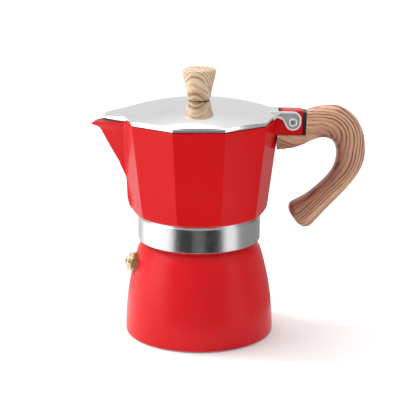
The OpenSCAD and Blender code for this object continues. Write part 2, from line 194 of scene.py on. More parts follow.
def lathe(name, corners, steps=160):
    """A solid turned round the Z axis, from a closed outline of (r, z, radius)."""
    outline = fillet(corners)
    return grid(name, turn(lambda a: outline, steps))


def circle(radius, count, cx=0.0, cy=0.0):
    angles = [2 * math.pi * k / count for k in range(count)]
    return [(cx + radius * math.cos(a), cy + radius * math.sin(a)) for a in angles]


def on_ray(x, y, places):
    """Points at (distance from the Z axis, height) places on the level ray that leads to x, y."""
    r = math.hypot(x, y)
    return [(x / r * d, y / r * d, z) for d, z in places]


def inset(outline, distance):
    """A closed outline moved inwards by a small distance. The outline runs anticlockwise or clockwise."""
    points = [Vector(p) for p in outline]
    area = sum(a.cross(b) for a, b in zip(points, points[1:] + points[:1]))
    side = 1 if area > 0 else -1
    out = []
    for i, here in enumerate(points):
        before = (here - points[i - 1]).normalized()
        after = (points[(i + 1) % len(points)] - here).normalized()
        first, second = Vector((-before.y, before.x)) * side, Vector((-after.y, after.x)) * side
        middle_way = (first + second).normalized()
        out.append(here + middle_way * distance / max(middle_way.dot(first), 0.5))
    return [(p.x, p.y) for p in out]


def plate(name, corners, y_low, y_high, edge=0.3, steps=3):
    """An outline of (x, z, radius), given a thickness along Y and rounded edges."""
    outline = fillet(corners)
    turns = [math.pi / 2 * k / steps for k in range(steps + 1)] if edge > 0 else [math.pi / 2]
    low = [(edge * (1 - math.sin(a)), y_low + edge * (1 - math.cos(a))) for a in turns]
    high = [(inwards, y_low + y_high - y) for inwards, y in reversed(low)]
    layers = [[(x, y, z) for x, z in inset(outline, inwards)] for inwards, y in low + high]
    n = len(outline)
    points = [p for layer in layers for p in layer]
    last = (len(layers) - 1) * n
    ends = [tuple(range(n)), tuple(range(last + n - 1, last - 1, -1))]
    return mesh(name, points, ends + bands(len(layers), n))


def apply_modifiers(piece):
    """Puts a piece's modifiers into its mesh."""
    depsgraph = bpy.context.evaluated_depsgraph_get()
    done = bpy.data.meshes.new_from_object(piece.evaluated_get(depsgraph))
    piece.modifiers.clear()
    piece.data = done


def clean(piece):
    """Merges doubled points and drops stray edges and points."""
    work = bmesh.new()
    work.from_mesh(piece.data)
    bmesh.ops.remove_doubles(work, verts=work.verts, dist=2e-6)
    bmesh.ops.dissolve_degenerate(work, edges=work.edges, dist=1e-6)
    bmesh.ops.delete(work, geom=[e for e in work.edges if e.is_wire], context="EDGES")
    bmesh.ops.delete(work, geom=[v for v in work.verts if not v.link_faces], context="VERTS")
    work.to_mesh(piece.data)
    work.free()


def cut(piece, *tools, operation="DIFFERENCE"):
    """Takes tools from a piece, or joins them to it, and removes the tools."""
    for tool in tools:
        boolean = piece.modifiers.new("boolean", "BOOLEAN")
        boolean.operation = operation
        boolean.object = tool
        boolean.solver = "MANIFOLD"
        apply_modifiers(piece)
        bpy.data.objects.remove(tool, do_unlink=True)
        clean(piece)
    crisp(piece)


def drill(piece, centre, radius, reach=20.0):
    """A round hole along Y through a piece."""
    centre, half = Vector(centre), Vector((0, reach, 0))
    cut(piece, rod("drill", centre - half, centre + half, radius))


def rod(name, start, end, radius, steps=32):
    """A plain round bar between two points, used to drill holes and inside detailed pieces."""
    start, end = Vector(start), Vector(end)
    along = (end - start).normalized()
    side = along.orthogonal().normalized()
    up = along.cross(side)
    points = []
    for centre in (start, end):
        for k in range(steps):
            a = 2 * math.pi * k / steps
            points.append(centre + radius * (math.cos(a) * side + math.sin(a) * up))
    ends = [tuple(range(steps)), tuple(range(2 * steps - 1, steps - 1, -1))]
    return mesh(name, points, ends + bands(2, steps))


# ---------------------------------------------------------------- material tools
class Shader:
    """A material with one Principled shader, and short names for the nodes that feed it."""

    def __init__(self, name, **sockets):
        self.material = bpy.data.materials.new(name)
        self.material.use_nodes = True
        self.tree = self.material.node_tree
        self.main = self.tree.nodes["Principled BSDF"]
        for socket, value in sockets.items():
            self.main.inputs[socket.replace("_", " ")].default_value = value

    def node(self, kind, inputs=(), out=0, **settings):
        made = self.tree.nodes.new("ShaderNode" + kind)
        for key, value in settings.items():
            setattr(made, key, value)
        for key, value in dict(inputs).items():
            if isinstance(value, bpy.types.NodeSocket):
                self.tree.links.new(value, made.inputs[key])
            else:
                made.inputs[key].default_value = value
        return made.outputs[out]

    def place(self, scale=(1, 1, 1), turn=(0, 0, 0), source="object"):
        """Coordinates in metres, or a stored attribute, stretched and turned."""
        if source == "object":
            base = self.node("TexCoord", out=3)
        else:
            base = self.node("Attribute", out=1, attribute_name=source)
        return self.node("Mapping", {"Vector": base, "Scale": scale, "Rotation": turn})

    def noise(self, where, scale, detail=3.0, roughness=0.5):
        values = {"Vector": where, "Scale": scale, "Detail": detail, "Roughness": roughness}
        return self.node("TexNoise", values)

    def ramp(self, factor, *stops):
        made = self.tree.nodes.new("ShaderNodeValToRGB")
        elements = made.color_ramp.elements
        while len(elements) < len(stops):
            elements.new(0.5)
        for element, (position, value) in zip(elements, stops):
            element.position = position
            element.color = (value, value, value, 1) if isinstance(value, (int, float)) else (*value, 1)
        self.tree.links.new(factor, made.inputs[0])
        return made.outputs[0]

    def mix(self, factor, first, second):
        def colour(value):
            return (*value, 1) if isinstance(value, tuple) else value

        values = {0: factor, 6: colour(first), 7: colour(second)}
        return self.node("Mix", values, out=2, data_type="RGBA")

    def maths(self, operation, *values):
        return self.node("Math", dict(enumerate(values)), operation=operation)

    def bump(self, height, strength, distance, after=None):
        values = {"Strength": strength, "Distance": distance, "Height": height}
        if after is not None:
            values["Normal"] = after
        return self.node("Bump", values)

    def wire(self, **sockets):
        for socket, value in sockets.items():
            self.tree.links.new(value, self.main.inputs[socket.replace("_", " ")])
        return self.material


def enamel(name, colour, deep, roughness, specular, peel):
    """Stove enamel: fine orange peel, a slow drift of tone, and thinner paint at random specks."""
    s = Shader(name, Specular_IOR_Level=specular)
    where = s.place()
    drift = s.noise(where, 28, 3)
    tone = s.mix(s.ramp(drift, (0.3, 0.0), (0.7, 1.0)), colour, deep)
    specks = s.ramp(s.noise(where, 1900, 2, 0.6), (0.74, 0.0), (0.8, 0.35))
    tone = s.mix(specks, tone, tuple(min(1.0, c * 1.25 + 0.02) for c in colour))
    rough = s.ramp(s.noise(where, 90, 4), (0.3, roughness - 0.03), (0.7, roughness + 0.04))
    fine = s.bump(s.noise(where, 900, 2), peel, 0.00006)
    broad = s.bump(s.noise(where, 160, 2), peel * 0.6, 0.0002, fine)
    return s.wire(Base_Color=tone, Roughness=rough, Normal=broad)


def turned_metal(name, colour, roughness, lines, anisotropic=0.6):
    """Metal turned about Z: rings that follow height and radius, and faint handling marks."""
    s = Shader(name, Metallic=1.0, Anisotropic=anisotropic)
    s.tree.links.new(s.node("Tangent", direction_type="RADIAL", axis="Z"), s.main.inputs["Tangent"])
    where = s.place()
    apart = s.node("SeparateXYZ", {"Vector": where})
    x, y, z = apart.node.outputs
    radius = s.maths("SQRT", s.maths("ADD", s.maths("MULTIPLY", x, x), s.maths("MULTIPLY", y, y)))
    rings = s.noise(s.node("CombineXYZ", {"X": radius, "Y": 0.0, "Z": z}), lines, 4, 0.7)
    angle = s.maths("ARCTAN2", y, x)
    swirl = s.node("CombineXYZ", {"X": s.maths("MULTIPLY", angle, 0.01), "Y": radius, "Z": z})
    streaks = s.noise(swirl, 2600, 5, 0.75)
    marks = s.noise(where, 45, 5, 0.6)
    tone = s.mix(s.ramp(streaks, (0.3, 0.0), (0.75, 1.0)), colour, tuple(c * 0.82 for c in colour))
    tone = s.mix(s.ramp(marks, (0.45, 0.0), (0.8, 0.35)), tone, tuple(c * 0.9 for c in colour))
    rough = s.ramp(streaks, (0.25, roughness - 0.05), (0.8, roughness + 0.12))
    first = s.bump(rings, 0.25, 0.00004)
    return s.wire(Base_Color=tone, Roughness=rough, Normal=s.bump(streaks, 0.2, 0.00002, first))


def polished_metal(name, colour, roughness):
    """Hand-polished aluminium: nearly a mirror, with cloudy buffing and short fine scratches."""
    s = Shader(name, Metallic=1.0)
    where = s.place()
    cloud = s.noise(where, 35, 4, 0.6)
    scratches = s.noise(s.place((1, 14, 1), (0, 0, 0.5)), 700, 3, 0.6)
    cross = s.noise(s.place((12, 1, 1), (0, 0, -0.3)), 620, 3, 0.6)
    both = s.maths("MULTIPLY", scratches, cross)
    tone = s.mix(s.ramp(cloud, (0.35, 0.0), (0.7, 1.0)), colour, tuple(c * 0.95 for c in colour))
    rough = s.ramp(s.maths("ADD", s.maths("MULTIPLY", cloud, 0.5), s.maths("MULTIPLY", both, 0.8)),
                   (0.3, roughness * 0.75), (0.65, roughness * 1.35))
    fine = s.bump(both, 0.06, 0.00003)
    return s.wire(Base_Color=tone, Roughness=rough, Normal=s.bump(cloud, 0.05, 0.0003, fine))


def cast_metal(name, colour, roughness, grain=900, darkening=0.75, metallic=1.0):
    """Plain machined or cast metal with a fine grain, stains and a rough skin."""
    s = Shader(name, Metallic=metallic)
    where = s.place()
    skin = s.noise(where, grain, 5, 0.65)
    stains = s.noise(where, 60, 5, 0.6)
    tone = s.mix(s.ramp(stains, (0.4, 0.0), (0.75, 1.0)), colour, tuple(c * darkening for c in colour))
    rough = s.ramp(skin, (0.3, roughness - 0.06), (0.75, roughness + 0.1))
    return s.wire(Base_Color=tone, Roughness=rough, Normal=s.bump(skin, 0.2, 0.00004))


def wood_print(name, light, mid, dark, roughness, stretch, line_scale, wander_by, inner=None):
    """Printed wood: long veins that wander and fork, fine fibres between them, under a satin lacquer.
    With an inner colour, the print takes painted shade on the piece's inner side: it passes from that colour
    to light with the piece's stored share "side"."""
    s = Shader(name, Coat_Weight=0.25, Coat_Roughness=0.3)
    where = s.place(stretch, source="grain")
    wander = s.noise(where, 55, 3, 0.55)
    apart = s.node("SeparateXYZ", {"Vector": s.place(source="grain")})
    _, across, deep = apart.node.outputs
    bent = s.maths("ADD", s.maths("MULTIPLY", across, line_scale),
                   s.maths("MULTIPLY", wander, wander_by))
    bent = s.maths("ADD", bent, s.maths("MULTIPLY", deep, line_scale * 0.35))
    phase = s.maths("FRACT", bent)
    vein = s.ramp(phase, (0.0, 1.0), (0.12, 0.9), (0.26, 0.25), (0.6, 0.0), (0.88, 0.35), (1.0, 1.0))
    second = s.maths("FRACT", s.maths("MULTIPLY", bent, 2.37))
    hair = s.ramp(second, (0.0, 0.9), (0.2, 0.1), (0.8, 0.0), (1.0, 0.9))
    fibres = s.noise(where, 900, 4, 0.7)
    broken = s.ramp(s.noise(where, 160, 3, 0.6), (0.34, 0.15), (0.52, 1.0))
    mid_tone = mid
    # painted shade: on the piece's inner side the print darkens towards the inner colour
    if inner is not None:
        side = s.node("Attribute", out=2, attribute_name="side")
        lit_share = s.ramp(side, (0.1, 0.0), (0.5, 0.75), (0.9, 1.0))
        light = s.mix(lit_share, inner, light)
        mid_tone = s.mix(lit_share, tuple(c * 0.8 for c in inner), mid)
    tone = s.mix(s.ramp(s.noise(where, 30, 2), (0.35, 0.0), (0.65, 1.0)), light, mid_tone)
    tone = s.mix(s.ramp(fibres, (0.45, 0.0), (0.72, 0.75)), tone, tuple(c * 0.66 for c in mid))
    tone = s.mix(s.maths("MULTIPLY", hair, broken), tone, tuple(0.5 * (a + b) for a, b in zip(mid, dark)))
    tone = s.mix(s.maths("MULTIPLY", vein, broken), tone, dark)
    rough = s.ramp(fibres, (0.3, roughness - 0.04), (0.8, roughness + 0.08))
    relief = s.bump(s.maths("ADD", vein, fibres), 0.12, -0.00006)
    return s.wire(Base_Color=tone, Roughness=rough, Normal=relief)


def soft_seal(name, colour, roughness=0.6):
    """Moulded rubber or pressed fibre: matt, a little mottled."""
    s = Shader(name, Specular_IOR_Level=0.35)
    where = s.place()
    mottle = s.noise(where, 220, 4)
    tone = s.mix(s.ramp(mottle, (0.35, 0.0), (0.7, 1.0)), colour, tuple(c * 0.86 for c in colour))
    rough = s.ramp(mottle, (0.3, roughness - 0.08), (0.7, roughness + 0.08))
    pores = s.bump(s.noise(where, 1500, 3), 0.15, 0.00004)
    return s.wire(Base_Color=tone, Roughness=rough, Normal=pores)


MATERIALS = {
    "boiler_red": enamel("satin_red_enamel", (0.62, 0.0045, 0.010), (0.58, 0.003, 0.007),
                         0.3, 0.22, 0.10),
    "collector_red": enamel("gloss_red_enamel", (0.56, 0.003, 0.006), (0.53, 0.002, 0.004),
                            0.2, 0.15, 0.05),
    "turned_aluminium": turned_metal("turned_aluminium", (0.68, 0.68, 0.69), 0.2, 5200),
    "polished_aluminium": polished_metal("polished_aluminium", (0.93, 0.925, 0.925), 0.08),
    "cast_aluminium": cast_metal("cast_aluminium", (0.8, 0.8, 0.81), 0.36, 700),
    "spun_aluminium": turned_metal("spun_aluminium", (0.8, 0.8, 0.81), 0.3, 2600, 0.4),
    "valve_brass": cast_metal("machined_brass", (0.80, 0.62, 0.36), 0.24, 1800, 0.7),
    "rough_casting": cast_metal("rough_casting", (0.5, 0.5, 0.51), 0.5, 500, 0.6, 0.6),
    "buffed_casting": cast_metal("buffed_casting", (0.86, 0.86, 0.87), 0.4, 900, 0.85, 0.3),
    "fibre": soft_seal("red_fibre", (0.4, 0.14, 0.07), 0.65),
    "steel": cast_metal("machined_steel", (0.62, 0.62, 0.63), 0.3, 1500, 0.7),
    "spring_steel": cast_metal("spring_steel", (0.6, 0.6, 0.63), 0.28, 2500, 0.8),
    "seal_rubber": soft_seal("white_rubber", (0.86, 0.85, 0.8), 0.55),
    # dark plate for the handle spacer; the same material is painted shadow in the ring at the knob's foot
    "dark_plate": cast_metal("blackened_plate_and_painted_shadow", (0.05, 0.055, 0.06), 0.35, 800, 0.6, 0.6),
    # the walnut print's last colour is painted shade for the handle's inner side
    "handle_woodprint": wood_print(
        "walnut_print", (0.8, 0.47, 0.275), (0.6, 0.3, 0.17), (0.11, 0.03, 0.018),
        0.36, (0.16, 1, 1), 430, 5.0, (0.3, 0.11, 0.07)),
    "knob_woodprint": wood_print(
        "maple_print", (0.84, 0.68, 0.48), (0.74, 0.53, 0.33), (0.3, 0.13, 0.05),
        0.4, (0.3, 1, 1), 360, 4.5),
}


def finish_piece(piece, body, slot, *replaced):
    """Gives a piece its slot's material and its body, and hides the CAD nodes that it stands for."""
    piece.data.materials.clear()
    piece.data.materials.append(MATERIALS[slot])
    for polygon in piece.data.polygons:
        polygon.material_index = 0
    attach(piece, body)
    if replaced:
        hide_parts(*replaced)


def bare_metal(piece, is_bare, finish="rough_casting"):
    """Another finish on the faces that is_bare picks by their centre, in millimetres, and normal."""
    piece.data.materials.append(MATERIALS[finish])
    for polygon in piece.data.polygons:
        if is_bare(np.array(polygon.center) / MM, np.array(polygon.normal)):
            polygon.material_index = len(piece.data.materials) - 1


# ---------------------------------------------------------------- boiler
SIDE_ARC_R = 165.0
FOOT_FILLET = 2.0
CREASE_Z = 51.1
SHOULDER_R = 16.0
SHOULDER_LEAN = 24.0
BOILER_WALL = 2.6
BOILER_FLOOR = 3.0
VALVE_TURN = 12.0
VALVE_TILT = 14.5
VALVE_Z = 44.0


def side_r(z):
    """Radius of the boiler's side at a height below the crease."""
    return FOOT_R - SIDE_ARC_R + math.sqrt(SIDE_ARC_R ** 2 - (z - FOOT_FILLET) ** 2)


def at_valve(piece):
    """Moves a piece made along +Z from the origin onto the valve's axis, which leaves the boiler's side."""
    turn = math.radians(180 + VALVE_TURN)
    tilt = math.radians(90 - VALVE_TILT)
    side = side_r(VALVE_Z)
    for vertex in piece.data.vertices:
        x, y, z = (c / MM for c in vertex.co)
        along = side + x * math.cos(tilt) + z * math.sin(tilt)
        up = VALVE_Z - x * math.sin(tilt) + z * math.cos(tilt)
        vertex.co = (
            (along * math.cos(turn) - y * math.sin(turn)) * MM,
            (along * math.sin(turn) + y * math.cos(turn)) * MM,
            up * MM,
        )
    return piece


def thread_ring(angle, radius, low, high):
    """Points (r, z) of one slice through a screw thread, fading out towards both ends."""
    count = int((high - low) / 0.22)
    out = []
    for k in range(count + 1):
        z = low + (high - low) * k / count
        turn = (z / THREAD_PITCH - angle / (2 * math.pi)) % 1.0
        tooth = 0.5 - 0.5 * math.cos(2 * math.pi * turn)
        fade = min(1.0, (z - low) / 2.0, (high - z) / 1.2)
        out.append((radius + THREAD_DEPTH * tooth * max(0.0, fade), z))
    return out


def make_boiler():
    side = [(side_r(z), z, 0) for z in np.linspace(FOOT_FILLET + 1.2, CREASE_Z - 0.01, 22)]
    last_r = side_r(CREASE_Z)
    lean = math.radians(SHOULDER_LEAN)
    centre = (last_r - SHOULDER_R * math.cos(lean), CREASE_Z - SHOULDER_R * math.sin(lean))
    steep = math.degrees(math.acos((NECK_R - centre[0]) / SHOULDER_R))
    shoulder = arc(*centre, SHOULDER_R, SHOULDER_LEAN + 1.5, steep, 8)
    thread_low = shoulder[-1][1] + 2.2
    outer = [(0, 0.5, 0), (30, 0.5, 0.3), (31.5, 0, 0.3), (FOOT_R, 0, FOOT_FILLET), *side,
             (last_r, CREASE_Z, 0), *shoulder, (NECK_R, thread_low - 0.6, 0)]
    top = [(NECK_R - 0.3, NECK_TOP - 0.5, 0.2), (NECK_R - 0.8, NECK_TOP, 0.3), (NECK_BORE, NECK_TOP, 0.4),
           (NECK_BORE, CREASE_Z + 2.5, 1.5), (side_r(CREASE_Z - 3.5) - BOILER_WALL, CREASE_Z - 3.5, 2.5)]
    inner = [(side_r(z) - BOILER_WALL, z, 0) for z in np.linspace(CREASE_Z - 6, 9, 10)]
    floor = [(FOOT_R - BOILER_WALL - 0.4, BOILER_FLOOR, 5), (0, BOILER_FLOOR, 0)]
    # each half is closed for fillet() by a point on the axis, which is then left out
    start = fillet(outer + [(0, 30, 0)])[:-1]
    end = fillet([(0, 30, 0)] + top + inner + floor)[1:]

    def outline_at(a):
        return start + thread_ring(a, NECK_R - THREAD_DEPTH, thread_low, NECK_TOP - 1.0) + end

    boiler = grid("boiler_shell", turn(outline_at, THREAD_STEPS))
    spot_face = at_valve(lathe("spot_face", [(0, -0.5, 0), (6.5, -0.5, 0), (6.9, 5, 0), (0, 5, 0)], 48))
    socket = at_valve(rod("socket", (0, 0, -10), (0, 0, 2), 3.55))
    cut(boiler, spot_face, socket)
    finish_piece(boiler, "boiler", "boiler_red", "boiler")

    def is_bare(c, normal):
        r = math.hypot(c[0], c[1])
        inside = r < side_r(min(c[2], CREASE_Z)) - 1.2 and 0.8 < c[2] < CREASE_Z
        return inside or c[2] < 0.7 or c[2] > CREASE_Z + 6.3 or (c[2] >= CREASE_Z and r < NECK_R - 1.5)

    bare_metal(boiler, is_bare)


def make_valve():
    flat, hexagon, nose = 5.0, (0.3, 3.7), 5.6
    corner = flat / math.cos(math.pi / 6)
    points = [(x, y, z) for z in hexagon for x, y in circle(corner, 6)]
    body = mesh("valve_hexagon", points, [tuple(range(6)), tuple(range(11, 5, -1))] + bands(2, 6))
    chamfer = 0.45
    cone = lathe("valve_chamfer", [
        (0, hexagon[0], 0), (flat + 0.15, hexagon[0], 0), (corner + 0.2, hexagon[0] + chamfer, 0),
        (corner + 0.2, hexagon[1] - chamfer - 0.15, 0), (flat + 0.05, hexagon[1], 0), (0, hexagon[1], 0)], 96)
    cut(body, cone, operation="INTERSECT")
    bar = lathe("valve_bar", [
        (0, -7, 0), (3.1, -7, 0.2), (3.5, -6.6, 0.2), (3.5, -1.2, 0.2), (3.5, hexagon[0] + 0.1, 0),
        (4.4, hexagon[0] + 0.3, 0), (4.4, hexagon[1] - 0.1, 0.1), (3.2, hexagon[1] + 0.15, 0.15),
        (3.2, hexagon[1] + 1.0, 0.3), (2.6, nose, 0.7), (0, nose, 0)], 96)
    cut(body, bar, operation="UNION")
    cut(body, rod("guide", (0, 0, 0), (0, 0, 12), 1.3), rod("chamber", (0, 0, -9), (0, 0, 4.6), 2.6))
    finish_piece(at_valve(body), "boiler", "valve_brass", "valve_body")


def make_collar():
    low, high = COLLAR_LOW[2], COLLAR_HIGH[2]
    outside = fillet([
        (COLLAR_BORE, low, 0.25), (COLLAR_R - 0.75, low, 0.15), (COLLAR_R, low + 0.75, 0.3),
        (COLLAR_R, high - 1.5, 0.25), (COLLAR_R - 0.45, high - 0.5, 0.2), (COLLAR_R - 0.45, high, 0.15),
        (COLLAR_BORE, high, 0)])

    def outline_at(a):
        return outside + thread_ring(a, COLLAR_BORE, low + 0.8, high - 0.3)[::-1]

    collar = grid("turned_collar", turn(outline_at, THREAD_STEPS))
    finish_piece(collar, "collector", "turned_aluminium", "collar")


# ---------------------------------------------------------------- funnel, seal and filter
def make_funnel():
    flange_r, flange_low = CUP_HIGH[0], NECK_TOP
    cup_r, wall, floor_z, cone_z = 28.9, 0.8, 50.5, 42.0
    stem_r = span("funnel_stem")[1][0]
    cup = lathe("spun_cup", [
        (stem_r, cone_z - 6, 0.1), (stem_r + wall, cone_z - 6, 0.2), (stem_r + wall, cone_z, 2),
        (cup_r, floor_z - 1, 1.5), (cup_r, flange_low, 0.6), (flange_r, flange_low, 0.4),
        (flange_r, CUP_HIGH[2], 0.4), (cup_r - wall, CUP_HIGH[2], 0.8), (cup_r - wall, floor_z, 0.8),
        (stem_r, cone_z + 1, 2)], 180)
    finish_piece(cup, "funnel", "spun_aluminium", "funnel_cup")


def perforated(name, radius, low, high, reach, pitch, hole_r):
    """A thin disc with round holes on a hexagonal grid."""
    rim, sides = 144, 14
    points = circle(radius, rim)
    loops = [list(range(rim))]
    row = pitch * math.sin(math.pi / 3)
    for j in range(-int(reach / row), int(reach / row) + 1):
        for i in range(-int(reach / pitch) - 1, int(reach / pitch) + 2):
            x, y = (i + (j % 2) / 2) * pitch, j * row
            if math.hypot(x, y) < reach:
                loops.append(list(range(len(points), len(points) + sides)))
                points += circle(hole_r, sides, x, y)
    edges = [pair for loop in loops for pair in zip(loop, loop[1:] + loop[:1])]
    triangles = delaunay_2d_cdt([Vector(p) for p in points], edges, [], 0, 1e-6)[2]
    # triangles whose three corners are on the same hole fill that hole, so they are left out
    owner = {k: number for number, loop in enumerate(loops[1:]) for k in loop}
    kept = [t for t in triangles if t[0] not in owner or len({owner.get(k, -1) for k in t}) > 1]
    n = len(points)
    solid = [(x, y, low) for x, y in points] + [(x, y, high) for x, y in points]
    faces = [tuple(t) for t in kept] + [tuple(n + k for k in reversed(t)) for t in kept]
    faces += [(a, b, n + b, n + a) for a, b in edges]
    return mesh(name, solid, faces)


def make_plates():
    low, high = span("basket_plate")
    basket = perforated("basket_disc", high[0], low[2], high[2], 24, 2.6, 0.5)
    finish_piece(basket, "funnel", "spun_aluminium", "basket_plate")
    low, high = span("filter_plate")
    sieve = perforated("filter_disc", high[0], low[2], high[2], 23, 2.3, 0.42)
    finish_piece(sieve, "filter_plate", "spun_aluminium", "filter_plate")
    bore = 25.5
    seal = lathe("rubber_seal", [
        (bore, GASKET_LOW[2], 0.5), (GASKET_HIGH[0], GASKET_LOW[2], 0.5),
        (GASKET_HIGH[0], GASKET_HIGH[2], 0.5), (bore, GASKET_HIGH[2], 0.5)], 180)
    finish_piece(seal, "gasket", "seal_rubber", "gasket")


# ---------------------------------------------------------------- ten-sided outlines
ARC_STEPS = 5
FLAT_STOPS = (0.05, 0.2, 0.5, 0.8, 0.95)


def corner_r(z):
    """Distance from the axis to a corner of the vessel's outside."""
    return RIM_R - TAPER * (RIM_Z - z)


def rounded_ring(corners):
    """An outline of (x, y, radius) corners with the same number of points whatever its shape."""
    arcs = []
    count = len(corners)
    for i, (x, y, radius) in enumerate(corners):
        here = Vector((x, y))
        before = Vector(corners[i - 1][:2]) - here
        after = Vector(corners[(i + 1) % count][:2]) - here
        angle = before.angle(after)
        reach = min(radius / max(math.tan(angle / 2), 0.01), 0.45 * before.length, 0.45 * after.length)
        first, last = here + before.normalized() * reach, here + after.normalized() * reach
        bend = []
        for k in range(ARC_STEPS + 1):
            t = k / ARC_STEPS
            bend.append(first.lerp(here, t).lerp(here.lerp(last, t), t))
        arcs.append(bend)
    ring = []
    for bend, following in zip(arcs, arcs[1:] + arcs[:1]):
        ring += bend
        ring += [bend[-1].lerp(following[0], t) for t in FLAT_STOPS]
    return [(p.x, p.y) for p in ring]


def decagon(corner, radius):
    """The nine corners that the vessel has besides the one under its spout, from just past the spout."""
    angles = [math.pi + 2 * math.pi * k / SIDES for k in range(1, SIDES)]
    return [(corner * math.cos(a), corner * math.sin(a), radius) for a in angles]


# the keel of the spout, as (height, distance from the axis)
KEEL = [(93.9, 43.0), (99.1, 45.9), (104.9, 48.8), (111.2, 52.2), (116.6, 55.0),
        (121.1, 57.3), (123.2, 58.4), (124.7, 60.1), (126.1, SPOUT_TIP), (128.0, 66.0)]
# the lip, as (distance from the axis, height)
LIP = [(40.0, RIM_Z), (43.0, 130.0), (48.5, 129.3), (53.9, 128.8), (57.4, 128.5), (59.9, 128.2),
       (61.8, 127.2), (SPOUT_TIP, 126.1), (66.0, 124.6)]


def eased(table, at):
    """Smooth curve through the points of a table, held at its ends."""
    xs, ys = zip(*table)
    if at <= xs[0]:
        return ys[0]
    if at >= xs[-1]:
        return ys[-1]
    i = max(k for k in range(len(xs) - 1) if xs[k] <= at)
    around = [(max(k - 1, 0), min(k + 1, len(xs) - 1)) for k in (i, i + 1)]
    slope = [(ys[after] - ys[before]) / (xs[after] - xs[before]) for before, after in around]
    width = xs[i + 1] - xs[i]
    t = (at - xs[i]) / width
    return ((2 * t ** 3 - 3 * t ** 2 + 1) * ys[i] + (t ** 3 - 2 * t ** 2 + t) * width * slope[0]
            + (3 * t ** 2 - 2 * t ** 3) * ys[i + 1] + (t ** 3 - t ** 2) * width * slope[1])


def spout_corners(corner, keel, half_w, inset):
    """The spout's three corners in a level section: its root on one side, its keel, its root on the other."""
    step = math.radians(360 / SIDES)
    near = np.array((-corner, 0.0))
    along = np.array((-corner * math.cos(step), corner * math.sin(step))) - near
    along /= np.linalg.norm(along)
    least = 2.2
    distance = least
    if keel > corner + 0.05 and half_w > 0.1:
        tip = np.array((-keel, 0.0))
        root = np.array((-SPOUT_ROOT + inset, half_w))
        side = root - tip
        matrix = np.array([along, -side]).T
        distance = max(least, float(np.linalg.solve(matrix, tip - near)[0]))
    meet = near + along * distance
    tip_x = -max(keel, corner)
    return [(meet[0], meet[1], 2.0), (tip_x, 0.0, 1.3), (meet[0], -meet[1], 2.0)]


def vessel_ring(z, inset=0.0):
    """Level section of the collector, inset from its outside."""
    corner = corner_r(z) - inset / FLAT
    keel = eased(KEEL, z) - 1.6 * inset
    half_w = max(0.0, SPOUT_HALF_W * (z - SPOUT_LOW_Z) / (RIM_Z - SPOUT_LOW_Z) - inset)
    return rounded_ring(decagon(corner, 1.1 + inset) + spout_corners(corner, keel, half_w, inset))


def soft_min(a, b, width):
    low = min(a, b)
    return low - width * math.log(math.exp((low - a) / width) + math.exp((low - b) / width))


# the rounded foot of the vessel: its arc's centre as (distance from the axis, height), and radius
FOOT_CENTRE = (34.3, 80.7)
FOOT_ARC_R = 7.75


def foot_limit(z):
    """Radius of the turned foot that the ten sides run down into."""
    drop = max(0.0, FOOT_CENTRE[1] - z)
    above = max(0.0, z - FOOT_CENTRE[1])
    return FOOT_CENTRE[0] + math.sqrt(max(0.0, FOOT_ARC_R ** 2 - drop ** 2)) + above * 3


def wall_columns(inset, low):
    """Upright lines of the vessel's wall, from height low to the lip: one list of points per column."""
    grid_z = np.linspace(low, 131.5, 180)
    rings = np.array([vessel_ring(z, inset) for z in grid_z])
    columns = []
    for j in range(rings.shape[1]):
        x = rings[:, j, 0]
        lip = np.array([eased(LIP, -v) if v < 0 else RIM_Z for v in x])
        above = np.nonzero(grid_z > lip)[0]
        k = above[0]
        t = (lip[k - 1] - grid_z[k - 1]) / ((grid_z[k] - grid_z[k - 1]) - (lip[k] - lip[k - 1]))
        end = grid_z[k - 1] + t * (grid_z[k] - grid_z[k - 1])
        columns.append((end, grid_z, rings[:, j, :]))
    return columns


def column_points(column, levels):
    """Points of a wall column at shares, from 0 at its foot to 1 at the lip."""
    end, zs, flat = column
    out = []
    for share in levels:
        z = zs[0] + share * (end - zs[0])
        out.append((np.interp(z, zs, flat[:, 0]), np.interp(z, zs, flat[:, 1]), z))
    return out


